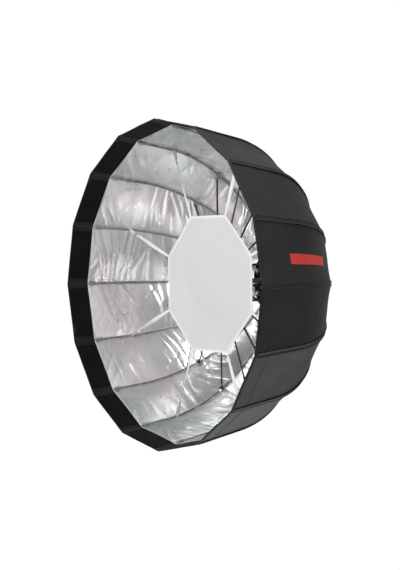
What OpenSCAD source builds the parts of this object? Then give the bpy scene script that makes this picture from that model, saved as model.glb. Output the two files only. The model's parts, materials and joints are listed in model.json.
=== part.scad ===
// Octabox: sixteen-rib folding softbox. The opening faces -Y and the flash head goes on at +Y.
// Each rib lies in a plane through the Y axis. A rib is drawn on the XY plane, X outwards, and
// turned into place, so a depth "f" in front of the hinge circle is at y = hinge_y - f.

/* [Canopy] */
// Radius of the rim at its corners
rim_r = 525; // [440:5:640]
// Straight run of the canopy in front of the bend, lip included
straight_run = 190; // [150:1:260]
// Width of the plain lip in front of the rib tips
lip_w = 75; // [50:1:100]
// Lean of the straight run away from the axis, in degrees
lean = 9.7; // [5:0.1:14]
// Thickness of the lined canopy
skin_t = 1.6; // [1:0.1:3]
// Gap between neighbouring gores at the middle of a panel
gore_gap = 0.3; // [0.2:0.1:1]

/* [Ribs] */
// Radius of a rib rod
rod_r = 2.5; // [2:0.1:3.2]
// Distance from a rod's middle to the liner
liner_gap = 6; // [5.8:0.1:8]
// Length of the straight root of a rib, from its hinge to the bend
root_len = 22; // [18:1:30]
// Outer radius of the root socket
socket_r = 4.6; // [4:0.1:5]
// Outer radius of the tip cap
cap_r = 5.6; // [4.6:0.1:5.6]
// Length of the tip cap
cap_len = 26; // [18:1:34]
// Clearance of a rod in its fittings
rod_clear = 0.05; // [0.03:0.01:0.08]

/* [Struts] */
// Angle along the bend at which the strut bracket sits, in degrees
bracket_at = 47.2; // [40:0.1:54]
// Distance from the rod's middle to the strut pivot
bracket_drop = 8; // [7:0.1:10]
// Length of the bracket along the rod
bracket_len = 22; // [16:1:28]
// Outer radius of the bracket round the rod
bracket_r = 5.2; // [4.4:0.1:5.4]
// Tilt of an open strut towards the rim, in degrees
strut_tilt = 16.8; // [12:0.1:20]
// Radius of a strut
strut_r = 3; // [2.4:0.1:3.2]
// Radius of a strut's eyes
eye_r = 5; // [4.5:0.1:5.6]
// Gap between a strut and the rib that it lies beside
side_gap = 0.8; // [0.5:0.1:1.2]

/* [Hub] */
// Radius of the circle that the rib hinges lie on
hinge_r = 98; // [94:1:104]
// Depth of the hinge circle in front of the mount face
hinge_depth = 32; // [30:1:40]
// Thickness of the hub plate
plate_t = 9.4; // [8.6:0.1:10]
// Thickness of a hinge ear
ear_t = 4; // [3:0.1:5]
// Radius round a hinge pin
knuckle_r = 6.5; // [5.5:0.1:7]
// Half the width of a rib's root between its ears
root_half = 4.2; // [3.6:0.1:5]
// Radius of a hinge pin
pin_r = 2; // [1.5:0.1:2.4]
// Running clearance of a pin, on the radius
pin_clear = 0.05; // [0.02:0.01:0.09]
// Radius of a pin's head
pin_head_r = 3.4; // [3:0.1:4]

/* [Runner] */
// Radius of the circle that the strut pivots lie on
runner_pivot_r = 76; // [74:1:80]
// Bore of the runner ring
runner_in = 52; // [50:0.5:53]
// Outer radius of the runner ring
runner_out = 70; // [69:0.5:71]
// Thickness of the runner ring
runner_t = 14; // [12:1:16]
// Radius of the circle that the guide posts lie on
post_circle = 60; // [59:0.5:61]
// Number of guide posts
posts = 4; // [2:2:8]
// Radius of a guide post
post_r = 4; // [3.5:0.1:4.4]
// Thickness of the front ring
front_t = 4; // [3:0.5:6]

/* [Mount ring] */
// Bore for the flash head
bore_r = 45; // [42:0.5:46]
// Outer radius of the mount ring's flange
flange_r = 80; // [76:1:84]
// Thickness of the flange
flange_t = 6; // [5:0.5:7]
// Outer radius of the bayonet spigot
spigot_r = 48.7; // [48.7:0.1:49.2]
// Length of the bayonet spigot behind the mount face
spigot_len = 9; // [7:0.5:11]
// Radius over the bayonet lugs
lug_r = 53.5; // [52:0.1:55]
// Thickness of a bayonet lug
lug_t = 3; // [2.5:0.1:4]
// Number of bayonet lugs
lugs = 3; // [3:1:4]
// Width of a bayonet lug, in degrees
lug_width = 40; // [30:1:50]
// Radius of the neck that the hub turns on
neck_r = 51; // [50.5:0.1:51.5]
// Outer radius of the retaining ring
keeper_r = 54.5; // [54:0.1:55]
// Thickness of the retaining ring
keeper_t = 3; // [2.5:0.1:4]
// Number of retaining screws
screws = 6; // [4:1:8]
// Radius of a retaining screw
screw_r = 1.5; // [1.2:0.1:1.6]

/* [Turn lock] */
// Radius of the lock's shank
shank_r = 3; // [2.5:0.1:3.2]
// Radius of the knob
knob_r = 9; // [8:0.1:9.5]
// Length of the knob
knob_len = 20; // [16:1:26]

/* [Deflector] */
// Radius of the deflector at its corners
deflector_r = 240; // [200:1:260]
// Depth of the deflector behind the rim
deflector_depth = 210; // [190:1:225]
// Thickness of the deflector cloth
deflector_t = 0.8; // [0.5:0.1:2]
// Width of the deflector's hem
hem_w = 9; // [6:0.5:14]
// Thickness of the hem
hem_t = 2; // [1.5:0.1:3]
// Width of an elastic strap
strap_w = 12; // [8:0.5:16]
// Thickness of an elastic strap
strap_t = 1.2; // [0.8:0.1:2]
// Length of the webbing loop between a hook and its rib
loop_len = 30; // [20:1:40]
// Length of a strap hook
hook_len = 17; // [12:1:22]
// Width of a strap hook
hook_w = 10; // [8:0.5:14]
// Thickness of a strap hook's wire
wire_r = 1.1; // [0.8:0.1:1.4]

/* [Hidden] */
$fn = 48;
ribs = 16;
step_a = 360 / ribs;
half_a = step_a / 2;
near = 0.3;

skin_in = liner_gap;
skin_out = liner_gap + skin_t;
hinge_y = -hinge_depth;
bend_x = hinge_r + root_len;
bend_r = (rim_r - bend_x - straight_run * sin(lean)) / cos(lean) - skin_out;
bend_y = hinge_y - bend_r;
rod_run = straight_run - lip_w;
rim_depth = bend_r - (bend_r + skin_out) * sin(lean) + straight_run * cos(lean);
rim_y = hinge_y - rim_depth;
cap_bore = cap_len - cap_r - 2;
rod_start = hinge_r + knuckle_r + 1.5;
// the straight ends of a rod start a little inside its bend, and are thinner by this step
splice = 2;
splice_step = 0.02;

plate_front = -hinge_depth + 16.3;
plate_back = plate_front + plate_t;
plate_r = hinge_r + knuckle_r + 1.5;
ear_in = root_half + near;
pin_half = ear_in + ear_t + 0.2;
head_t = 1.5;

strut_z = rod_r + side_gap + strut_r;
eye_half = strut_r - 0.1;
lug_face = rod_r + 0.3;
rivet_t = 1.5;
arm_x = bend_x + (bend_r - bracket_drop) * sin(bracket_at);
arm_f = bend_r - (bend_r - bracket_drop) * cos(bracket_at);
runner_f = arm_f + (arm_x - runner_pivot_r) * tan(strut_tilt);
strut_len = (arm_x - runner_pivot_r) / cos(strut_tilt);
runner_y = hinge_y - runner_f;
fork_in = eye_half + near;
fork_t = 3.7;
fork_r = 6;

front_y = runner_y - runner_t / 2 - near;
post_end = front_y - front_t;
nut_h = 5;
nut_r = 6.5;

lug_inset = 0.5;
keeper_back = plate_front - near;
keeper_front = keeper_back - keeper_t;
screw_circle = (bore_r + neck_r) / 2;
screw_head_r = 2.7;
screw_head_t = 2;
screw_len = 12;

shank_y = (plate_front + plate_back) / 2;
shank_at = -2.5 * step_a;
shank_tip = neck_r + 1;

deflector_y = rim_y + deflector_depth;
deflector_f = hinge_y - deflector_y;
rod_at_deflector = bend_x + sqrt(pow(bend_r, 2) - pow(bend_r - deflector_f, 2));
loop_out = rod_at_deflector - rod_r - near;
loop_in = loop_out - loop_len;
hook_in = loop_in - near - hook_len;
strap_out = hook_in - near;

function two(i) = i < 10 ? str("0", i) : str(i);
function named(word, i) = str(word, "_", two(i));

// turns a shape drawn along +X to the place of rib i, or to an angle round the axis
module turned(a) {
    rotate([0, -a, 0]) children();
}

module at_rib(i) {
    turned((i - 1) * step_a) children();
}

// a flat ring round the Y axis
module ring(inner, outer, y0, y1) {
    translate([0, y0, 0]) rotate([-90, 0, 0]) linear_extrude(y1 - y0) difference() {
        circle(outer);
        circle(inner);
    }
}

// a rod along Y at radius r and angle a
module post(r, a, radius, y0, y1) {
    turned(a) translate([r, y0, 0]) rotate([-90, 0, 0]) cylinder(h = y1 - y0, r = radius);
}

// a bar that follows a rib's bend between two angles, with its middle on the rod's middle
module bent_bar(radius, from_a, to_a) {
    translate([bend_x, bend_y, 0]) rotate([0, 0, 90 - to_a])
        rotate_extrude(angle = to_a - from_a) translate([bend_r, 0]) circle(radius);
}

// moves a shape drawn along +Z to the start of a rib's straight run, pointing at the rim
module at_straight() {
    translate([bend_x + bend_r * cos(lean), bend_y + bend_r * sin(lean), 0])
        rotate([0, 0, lean]) rotate([90, 0, 0]) children();
}

/* Mount ring and the parts that hold the hub on it */

module mount_ring() {
    color("dimgray") difference() {
        union() {
            ring(bore_r, flange_r, -flange_t, 0);
            ring(bore_r, neck_r, keeper_back, -flange_t);
            ring(bore_r, spigot_r, 0, spigot_len);
            for (k = [1:lugs]) turned(k * 360 / lugs) bayonet_lug();
        }
        for (k = [1:screws])
            post(screw_circle, k * 360 / screws, screw_r, keeper_back - near, keeper_back + screw_len);
    }
}

module bayonet_lug() {
    translate([0, spigot_len - lug_t - lug_inset, 0]) rotate([-90, 0, 0]) rotate([0, 0, -lug_width / 2])
        rotate_extrude(angle = lug_width) translate([spigot_r - 1, 0]) square([lug_r - spigot_r + 1, lug_t]);
}

module retaining_ring() {
    color("gray") difference() {
        ring(bore_r, keeper_r, keeper_front, keeper_back);
        for (k = [1:screws])
            post(screw_circle, k * 360 / screws, screw_r + rod_clear, keeper_front - 1, keeper_back + 1);
    }
}

module retaining_screws() {
    color("silver") for (k = [1:screws]) {
        post(screw_circle, k * 360 / screws, screw_r, keeper_front, keeper_back + screw_len - 1);
        difference() {
            post(screw_circle, k * 360 / screws, screw_head_r, keeper_front - screw_head_t, keeper_front);
            post(screw_circle, k * 360 / screws, screw_r * 0.8, keeper_front - screw_head_t - 1,
                keeper_front - screw_head_t / 2);
        }
    }
}

/* Hub */

module hub_ear(z0) {
    translate([hinge_r, hinge_y, z0]) linear_extrude(ear_t) difference() {
        union() {
            circle(knuckle_r);
            translate([-knuckle_r, 0]) square([2 * knuckle_r, plate_front - hinge_y + 1]);
        }
        circle(pin_r + pin_clear);
    }
}

module hub_ring() {
    color("darkslategray") difference() {
        union() {
            ring(neck_r + pin_clear, plate_r, plate_front, plate_back);
            for (i = [1:ribs]) at_rib(i) {
                hub_ear(ear_in);
                hub_ear(-ear_in - ear_t);
            }
        }
        for (k = [1:posts]) post(post_circle, post_angle(k), post_r, plate_front - 1, plate_back - 1);
        turned(shank_at) translate([shank_tip - 2, shank_y, 0]) rotate([0, 90, 0])
            cylinder(h = plate_r, r = shank_r + pin_clear);
    }
}

function post_angle(k) = half_a + k * 360 / posts;

module lock_knob() {
    color("black") turned(shank_at) translate([0, shank_y, 0]) rotate([0, 90, 0]) {
        translate([0, 0, shank_tip]) cylinder(h = plate_r + near - shank_tip, r = shank_r);
        translate([0, 0, plate_r + near]) cylinder(h = 4, r = knob_r * 0.7);
        translate([0, 0, plate_r + near + 4]) difference() {
            cylinder(h = knob_len - 4, r = knob_r);
            for (k = [1:12]) rotate([0, 0, k * 30]) translate([knob_r + 0.6, 0, -1]) cylinder(h = knob_len, r = 1.5);
        }
    }
}

/* Guide posts, front ring and runner */

module guide_posts() {
    color("black") for (k = [1:posts]) post(post_circle, post_angle(k), post_r, post_end, plate_back - 1);
}

module front_ring() {
    color("black") difference() {
        ring(runner_in, runner_out - 2, post_end, front_y);
        for (k = [1:posts]) post(post_circle, post_angle(k), post_r, post_end - 1, front_y + 1);
    }
}

module post_nuts() {
    color("silver") for (k = [1:posts])
        turned(post_angle(k)) translate([post_circle, post_end - nut_h, 0]) rotate([-90, 0, 0])
            cylinder(h = nut_h, r = nut_r, $fn = 6);
}

module runner_fork(z0) {
    translate([runner_pivot_r, runner_y, z0]) linear_extrude(fork_t) difference() {
        union() {
            circle(fork_r);
            translate([runner_out - 6 - runner_pivot_r, -fork_r])
                square([runner_pivot_r - runner_out + 6, 2 * fork_r]);
        }
        circle(pin_r + pin_clear);
    }
}

module runner_ring() {
    color("black") difference() {
        union() {
            ring(runner_in, runner_out, runner_y - runner_t / 2, runner_y + runner_t / 2);
            for (i = [1:ribs]) at_rib(i) {
                runner_fork(strut_z + fork_in);
                runner_fork(strut_z - fork_in - fork_t);
            }
        }
        for (k = [1:posts])
            post(post_circle, post_angle(k), post_r + pin_clear, runner_y - runner_t, runner_y + runner_t);
    }
}

/* Ribs: rod, root fitting with its pin, strut bracket and tip cap */

module rib_rod() {
    bent_bar(rod_r, 0, 90 - lean);
    translate([rod_start, hinge_y, 0]) rotate([0, 90, 0])
        cylinder(h = bend_x + splice - rod_start, r = rod_r - splice_step);
    at_straight() translate([0, 0, -splice])
        cylinder(h = splice + rod_run - cap_len + cap_bore - near, r = rod_r - splice_step);
}

module rib_root() {
    difference() {
        union() {
            translate([hinge_r, hinge_y, -root_half]) cylinder(h = 2 * root_half, r = knuckle_r);
            translate([hinge_r, hinge_y, 0]) rotate([0, 90, 0])
                cylinder(h = root_len - 1, r = min(socket_r, root_half));
        }
        translate([hinge_r, hinge_y, -root_half - 1]) cylinder(h = 2 * root_half + 2, r = pin_r + 0.02);
        translate([rod_start - near, hinge_y, 0]) rotate([0, 90, 0])
            cylinder(h = root_len, r = rod_r + rod_clear);
    }
}

module headed_pin(x, y, z0, z1) {
    translate([x, y, z0]) cylinder(h = z1 - z0, r = pin_r);
    translate([x, y, z1]) cylinder(h = head_t, r = pin_head_r);
    translate([x, y, z0 - head_t]) cylinder(h = head_t, r = pin_head_r);
}

module rib_bracket() {
    spread = bracket_len / bend_r * 90 / PI;
    intersection() {
        difference() {
            union() {
                bent_bar(bracket_r, bracket_at - spread, bracket_at + spread);
                translate([arm_x, hinge_y - arm_f, -lug_face]) cylinder(h = 2 * lug_face, r = eye_r + 1);
            }
            bent_bar(rod_r + rod_clear, bracket_at - 2 * spread, bracket_at + 2 * spread);
        }
        translate([0, hinge_y - rim_depth, -bracket_r - 1]) cube([rim_r, rim_depth, bracket_r + 1 + lug_face]);
    }
}

module rib_cap() {
    at_straight() difference() {
        union() {
            translate([0, 0, rod_run - cap_len]) cylinder(h = cap_len - cap_r, r = cap_r);
            translate([0, 0, rod_run - cap_r]) sphere(cap_r);
        }
        translate([0, 0, rod_run - cap_len - 1]) cylinder(h = cap_bore + 1, r = rod_r + rod_clear);
    }
}

module rib(i) {
    color("slategray") at_rib(i) {
        rib_rod();
        rib_root();
        headed_pin(hinge_r, hinge_y, -pin_half, pin_half);
        rib_bracket();
        rib_cap();
    }
}

/* Struts */

module strut(i) {
    color("black") at_rib(i) {
        translate([runner_pivot_r, runner_y, strut_z]) rotate([0, 0, strut_tilt]) difference() {
            union() {
                rotate([0, 90, 0]) cylinder(h = strut_len, r = strut_r);
                for (x = [0, strut_len]) translate([x, 0, -eye_half]) cylinder(h = 2 * eye_half, r = eye_r);
                translate([strut_len, 0, eye_half]) cylinder(h = rivet_t, r = pin_head_r);
            }
            translate([0, 0, -strut_r - 1]) cylinder(h = 2 * strut_r + 2, r = pin_r + 0.02);
        }
        headed_pin(runner_pivot_r, runner_y, strut_z - fork_in - fork_t - 0.2, strut_z + fork_in + fork_t + 0.2);
    }
}

/* Canopy gores: a thin V over each rib, from the middle of one panel to the middle of the next */

bend_steps = 16;
straight_steps = 3;

// [distance from the axis, depth] of the canopy's section, "off" outside the rod's middle
function bend_point(a, off) = [bend_x + (bend_r + off) * sin(a), bend_r - (bend_r + off) * cos(a)];
function straight_point(t, off) = bend_point(90 - lean, off) + t * [sin(lean), cos(lean)];
function section(off) = concat(
    [for (j = [0:bend_steps]) bend_point((90 - lean) * j / bend_steps, off)],
    [for (j = [1:straight_steps]) straight_point(straight_run * j / straight_steps, off)]
);
function on_rib(p) = [p[0], hinge_y - p[1], 0];
function mid_panel(p, side) = [
    p[0] * pow(cos(half_a), 2), hinge_y - p[1], side * (p[0] * cos(half_a) * sin(half_a) - gore_gap / 2)
];

module gore(i) {
    outer = section(skin_out);
    inner = section(skin_in);
    last = len(outer) - 1;
    points = [for (j = [0:last]) each [
        mid_panel(outer[j], -1), on_rib(outer[j]), mid_panel(outer[j], 1),
        mid_panel(inner[j], 1), on_rib(inner[j]), mid_panel(inner[j], -1)
    ]];
    sides = [for (j = [0:last - 1], k = [0:5]) each let (a = 6 * j + k, b = 6 * j + (k + 1) % 6)
        [[a, b, b + 6], [a, b + 6, a + 6]]];
    back_end = [[0, 5, 4], [0, 4, 1], [1, 4, 3], [1, 3, 2]];
    front_end = [for (t = back_end) [6 * last + t[0], 6 * last + t[2], 6 * last + t[1]]];
    color("dimgray") at_rib(i) polyhedron(points, concat(sides, back_end, front_end));
}

/* Deflector and what holds it */

module octagon(radius) {
    rotate([0, 0, step_a]) circle(radius, $fn = 8);
}

module deflector() {
    color("white") translate([0, deflector_y, 0]) rotate([-90, 0, 0]) {
        translate([0, 0, -deflector_t / 2]) linear_extrude(deflector_t) octagon(deflector_r);
        translate([0, 0, -hem_t / 2]) linear_extrude(hem_t) difference() {
            octagon(deflector_r);
            octagon(deflector_r - hem_w);
        }
    }
}

module deflector_straps() {
    color("white") for (k = [1:8]) at_rib(2 * k) {
        translate([deflector_r + near, deflector_y - strap_t / 2, -strap_w / 2])
            cube([strap_out - deflector_r - near, strap_t, strap_w]);
        translate([loop_in, deflector_y - strap_t, -strap_w / 2]) cube([loop_len, 2 * strap_t, strap_w]);
    }
}

module strap_hooks() {
    color("silver") for (k = [1:8]) at_rib(2 * k)
        translate([hook_in, deflector_y - wire_r, 0]) rotate([-90, 0, 0]) linear_extrude(2 * wire_r)
            difference() {
                translate([0, -hook_w / 2]) square([hook_len, hook_w]);
                translate([2 * wire_r, 2 * wire_r - hook_w / 2])
                    square([hook_len - 4 * wire_r, hook_w - 4 * wire_r]);
            }
}

mount_ring();
retaining_ring();
retaining_screws();
hub_ring();
lock_knob();
guide_posts();
front_ring();
post_nuts();
runner_ring();
deflector();
deflector_straps();
strap_hooks();
for (i = [1:ribs]) rib(i);
for (i = [1:ribs]) strut(i);
for (i = [1:ribs]) gore(i);
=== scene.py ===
import json
import math

import bmesh
import bpy
import numpy as np
from mathutils import Matrix, Vector


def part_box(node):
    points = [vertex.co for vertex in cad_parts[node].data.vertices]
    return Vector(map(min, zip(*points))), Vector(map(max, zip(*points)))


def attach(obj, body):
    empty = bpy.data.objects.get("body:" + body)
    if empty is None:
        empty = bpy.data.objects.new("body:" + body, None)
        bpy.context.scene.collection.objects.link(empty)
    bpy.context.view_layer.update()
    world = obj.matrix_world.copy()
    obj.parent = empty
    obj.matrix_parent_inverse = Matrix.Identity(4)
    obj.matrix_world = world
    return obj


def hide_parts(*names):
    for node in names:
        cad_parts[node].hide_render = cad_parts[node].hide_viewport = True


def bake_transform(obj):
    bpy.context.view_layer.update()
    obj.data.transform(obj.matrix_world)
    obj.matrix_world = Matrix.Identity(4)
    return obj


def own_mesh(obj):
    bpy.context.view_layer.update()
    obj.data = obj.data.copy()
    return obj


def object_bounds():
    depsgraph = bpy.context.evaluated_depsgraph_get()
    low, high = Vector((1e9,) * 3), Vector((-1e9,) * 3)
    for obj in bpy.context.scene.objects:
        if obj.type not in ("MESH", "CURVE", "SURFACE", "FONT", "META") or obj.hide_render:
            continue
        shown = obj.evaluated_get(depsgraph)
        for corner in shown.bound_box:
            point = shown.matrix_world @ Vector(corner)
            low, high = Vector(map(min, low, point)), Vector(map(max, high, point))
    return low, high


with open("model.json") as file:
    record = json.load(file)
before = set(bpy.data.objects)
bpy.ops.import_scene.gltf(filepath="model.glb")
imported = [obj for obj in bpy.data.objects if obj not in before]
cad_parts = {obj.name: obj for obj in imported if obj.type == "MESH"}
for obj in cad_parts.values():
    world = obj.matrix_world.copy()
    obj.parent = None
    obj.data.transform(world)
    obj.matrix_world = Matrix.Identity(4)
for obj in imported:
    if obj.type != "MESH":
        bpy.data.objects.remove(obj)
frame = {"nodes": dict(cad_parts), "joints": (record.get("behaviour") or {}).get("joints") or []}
cadLow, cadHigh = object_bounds()
print("frame loaded:", len(frame["nodes"]), "CAD nodes")

mm = 0.001
root = bpy.context.scene.collection

# camera, light and floor
view = {
    "azimuth": 54.4554,       # round from the mouth of the box, in degrees
    "distance": 4.464,
    "height": 0.0943,
    "yaw": -1.7811,
    "pitch": -1.2216,
    "roll": -0.7496,
    "lens": 89.26,
    "sensor": 36.0,
}
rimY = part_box("gore_01")[0].y
az = math.radians(view["azimuth"])
yaw = az + math.radians(view["yaw"])
pitch = math.radians(view["pitch"])
roll = math.radians(view["roll"])
eye = Vector((0, rimY, 0)) + Vector((math.sin(az), -math.cos(az), 0)) * view["distance"] + Vector((0, 0,
        view["height"]))
ahead = Vector((-math.sin(yaw) * math.cos(pitch), math.cos(yaw) * math.cos(pitch), math.sin(pitch)))
level = Vector((math.cos(yaw), math.sin(yaw), 0))
upward = level.cross(ahead)
sideways = level * math.cos(roll) + upward * math.sin(roll)
upward = upward * math.cos(roll) - level * math.sin(roll)
cameraData = bpy.data.cameras.new("camera")
cameraData.lens = view["lens"]
cameraData.sensor_width = view["sensor"]
cameraData.clip_end = 60
camera = bpy.data.objects.new("camera", cameraData)
camera.matrix_world = Matrix((
    (sideways.x, upward.x, -ahead.x, eye.x),
    (sideways.y, upward.y, -ahead.y, eye.y),
    (sideways.z, upward.z, -ahead.z, eye.z),
    (0, 0, 0, 1),
))
root.objects.link(camera)
bpy.context.scene.camera = camera

studio = {
    "ambient": 0.24,          # soft light from all round
    "backdrop": 1.0,          # brightness of the white backdrop
    "backdropRadius": 22.0,
    "floorDrop": 1.10,        # from the lowest point down to the floor
    "floorRadius": 3.0,
    "keyPower": 180,
    "sidePower": 70,
    "topPower": 95,
    "fillPower": 40,
}


def areaLight(name, place, target, size, power, tint=(1, 1, 1)):
    data = bpy.data.lights.new(name, "AREA")
    data.shape = "DISK"
    data.size = size
    data.energy = power
    data.color = tint
    lamp = bpy.data.objects.new(name, data)
    lamp.location = place
    lamp.rotation_euler = (Vector(target) - Vector(place)).to_track_quat("-Z", "Y").to_euler()
    root.objects.link(lamp)
    return lamp


bpy.context.scene.view_settings.view_transform = "Standard"
world = bpy.data.worlds.new("studio")
world.use_nodes = True
world.node_tree.nodes["Background"].inputs["Color"].default_value = (1, 1, 1, 1)
world.node_tree.nodes["Background"].inputs["Strength"].default_value = studio["ambient"]
bpy.context.scene.world = world
areaLight("keyLight", (1.6, -4.2, 1.9), (-0.2, -0.3, 0), 1.3, studio["keyPower"])
areaLight("sideLight", (4.2, 0.9, 2.2), (0.3, -0.2, 0), 1.6, studio["sidePower"])
areaLight("topLight", (0.9, 0.4, 3.6), (0.1, -0.2, 0), 1.5, studio["topPower"])
areaLight("fillLight", (-2.8, -3.2, -0.6), (0, -0.3, 0), 1.4, studio["fillPower"])
print("camera and lights set")


# materials
def newMaterial(name):
    m = bpy.data.materials.new(name)
    m.use_nodes = True
    return m, m.node_tree.nodes, m.node_tree.links, m.node_tree.nodes["Principled BSDF"]


def node(nodes, kind, **values):
    n = nodes.new(kind)
    for key, value in values.items():
        if key in n.inputs:
            n.inputs[key].default_value = value
        else:
            setattr(n, key, value)
    return n


def ramp(nodes, links, source, stops):
    r = nodes.new("ShaderNodeValToRGB")
    while len(r.color_ramp.elements) < len(stops):
        r.color_ramp.elements.new(0.5)
    for element, (place, colour) in zip(r.color_ramp.elements, stops):
        element.position = place
        element.color = (*colour, 1)
    links.new(source, r.inputs["Fac"])
    return r.outputs["Color"]


def toRange(nodes, links, source, low, high, fromLow=0.0, fromHigh=1.0):
    r = nodes.new("ShaderNodeMapRange")
    r.inputs["From Min"].default_value = fromLow
    r.inputs["From Max"].default_value = fromHigh
    r.inputs["To Min"].default_value = low
    r.inputs["To Max"].default_value = high
    links.new(source, r.inputs["Value"])
    return r.outputs["Result"]


def noise(nodes, links, coords, scale, detail=3.0, roughness=0.5, distortion=0.0):
    n = node(nodes, "ShaderNodeTexNoise", Scale=scale, Detail=detail, Roughness=roughness,
             Distortion=distortion)
    links.new(coords, n.inputs["Vector"])
    return n.outputs["Fac"]


def calc(nodes, links, operation, *values):
    n = nodes.new("ShaderNodeMath")
    n.operation = operation
    for i, value in enumerate(values):
        if isinstance(value, (int, float)):
            n.inputs[i].default_value = value
        else:
            links.new(value, n.inputs[i])
    return n.outputs[0]


def bumpChain(nodes, links, shader, layers):
    last = None
    for height, strength, distance in layers:
        b = node(nodes, "ShaderNodeBump", Strength=strength, Distance=distance)
        links.new(height, b.inputs["Height"])
        if last is not None:
            links.new(last, b.inputs["Normal"])
        last = b.outputs["Normal"]
    links.new(last, shader.inputs["Normal"])


def weave(nodes, links, uv, pitch):
    # two crossed thread waves, one over the other in turn
    split = nodes.new("ShaderNodeSeparateXYZ")
    links.new(uv, split.inputs[0])
    waves = [calc(nodes, links, "SINE", calc(nodes, links, "MULTIPLY", way, 2 * math.pi / pitch))
             for way in split.outputs[:2]]
    product = calc(nodes, links, "MULTIPLY", *waves)
    return toRange(nodes, links, product, 0, 1, -1, 1)


def clothMaterial(name, dark, light, roughness, sheen, pitch=0.8 * mm, weaveBump=0.25, gloss=0.5,
                  crumple=0.0):
    m, nodes, links, shader = newMaterial(name)
    uv = node(nodes, "ShaderNodeUVMap", uv_map="cloth").outputs["UV"]
    place = nodes.new("ShaderNodeTexCoord").outputs["Object"]
    tone = noise(nodes, links, place, 7.0, 6, 0.6)
    links.new(ramp(nodes, links, tone, [(0.3, dark), (0.7, light)]), shader.inputs["Base Color"])
    fine = noise(nodes, links, place, 160, 3, 0.6)
    links.new(toRange(nodes, links, fine, roughness - 0.08, roughness + 0.1), shader.inputs["Roughness"])
    shader.inputs["Sheen Weight"].default_value = sheen
    shader.inputs["Sheen Roughness"].default_value = 0.45
    shader.inputs["Specular IOR Level"].default_value = gloss
    threads = weave(nodes, links, uv, pitch)
    layers = [(threads, weaveBump, 0.12 * mm), (noise(nodes, links, place, 60, 4, 0.6), 0.25, 0.6 * mm)]
    if crumple > 0:
        layers.append((noise(nodes, links, place, 13, 4, 0.5, 1.2), crumple, 4 * mm))
    bumpChain(nodes, links, shader, layers)
    return m


def metalMaterial(name, dark, light, roughness, metallic=1.0, grain=220, wear=None):
    m, nodes, links, shader = newMaterial(name)
    place = nodes.new("ShaderNodeTexCoord").outputs["Object"]
    tone = noise(nodes, links, place, 26, 4, 0.6)
    colour = ramp(nodes, links, tone, [(0.3, dark), (0.7, light)])
    if wear is not None:
        scuff = toRange(nodes, links, noise(nodes, links, place, 38, 4, 0.6), 0, 0.16, 0.60, 0.78)
        mix = nodes.new("ShaderNodeMix")
        mix.data_type = "RGBA"
        links.new(scuff, mix.inputs["Factor"])
        links.new(colour, mix.inputs["A"])
        mix.inputs["B"].default_value = (*wear, 1)
        colour = mix.outputs["Result"]
    links.new(colour, shader.inputs["Base Color"])
    shader.inputs["Metallic"].default_value = metallic
    links.new(toRange(nodes, links, noise(nodes, links, place, grain, 3, 0.6), roughness - 0.07,
                      roughness + 0.09), shader.inputs["Roughness"])
    bumpChain(nodes, links, shader, [(noise(nodes, links, place, grain * 2, 2, 0.5), 0.08, 0.1 * mm)])
    return m


def silverMaterial(name):
    m, nodes, links, shader = newMaterial(name)
    place = nodes.new("ShaderNodeTexCoord").outputs["Object"]
    uv = node(nodes, "ShaderNodeUVMap", uv_map="cloth").outputs["UV"]
    split = nodes.new("ShaderNodeSeparateXYZ")
    links.new(place, split.inputs[0])
    # painted reflection: the silver is painted darker and greener the further it lies above or below the middle
    # height, and this is added to a random tint mottle
    height = toRange(nodes, links, calc(nodes, links, "ABSOLUTE", split.outputs[2]), 0.05, -0.20, 0.32,
                     0.47)
    tint = calc(nodes, links, "ADD", noise(nodes, links, place, 5.5, 5, 0.65, 0.6), height)
    stops = [(0.26, (0.64, 0.70, 0.675)), (0.5, (0.86, 0.85, 0.855)), (0.70, (0.95, 0.88, 0.915))]
    links.new(ramp(nodes, links, tint, stops), shader.inputs["Base Color"])
    shader.inputs["Metallic"].default_value = 0.9
    links.new(toRange(nodes, links, noise(nodes, links, place, 24, 2, 0.4), 0.24, 0.34),
              shader.inputs["Roughness"])
    threads = weave(nodes, links, uv, 0.7 * mm)
    bumpChain(nodes, links, shader, [
        (threads, 0.025, 0.05 * mm),
        (noise(nodes, links, place, 34, 2, 0.4, 0.4), 0.20, 2.4 * mm),
    ])
    return m


shellCloth = clothMaterial("shellCloth", (0.0050, 0.0048, 0.0048), (0.0105, 0.0100, 0.0100), 0.40, 0.02,
                           gloss=0.42, crumple=0.45)
lipCloth = clothMaterial("lipCloth", (0.0028, 0.0027, 0.0026), (0.0048, 0.0046, 0.0045), 0.66, 0.015,
                         gloss=0.12)
bindingTape = clothMaterial("bindingTape", (0.005, 0.005, 0.005), (0.010, 0.010, 0.010), 0.6, 0.05,
                            1.2 * mm, 0.6, 0.25)
linerSilver = silverMaterial("linerSilver")
deflectorCloth = clothMaterial("deflectorCloth", (0.525, 0.52, 0.52), (0.57, 0.565, 0.565), 0.75, 0.2,
                               0.6 * mm, 0.3)
whiteElastic = clothMaterial("whiteElastic", (0.64, 0.635, 0.625), (0.70, 0.695, 0.685), 0.7, 0.2,
                             1.4 * mm, 0.7)
seamSilver = clothMaterial("seamSilver", (0.52, 0.51, 0.51), (0.62, 0.61, 0.61), 0.5, 0.2, 1.0 * mm, 0.4)
whiteThread = clothMaterial("whiteThread", (0.62, 0.61, 0.60), (0.72, 0.71, 0.70), 0.7, 0.2, 0.5 * mm, 0.3)
blackThread = clothMaterial("blackThread", (0.012, 0.012, 0.012), (0.022, 0.022, 0.022), 0.5, 0.05,
                            0.5 * mm, 0.3, 0.3)
redTape = clothMaterial("redTape", (0.40, 0.018, 0.014), (0.50, 0.026, 0.02), 0.55, 0.1, 0.9 * mm, 0.5, 0.3)
castMetal = metalMaterial("castMetal", (0.045, 0.045, 0.047), (0.062, 0.062, 0.064), 0.40, 0.6,
                          wear=(0.22, 0.22, 0.22))
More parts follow.
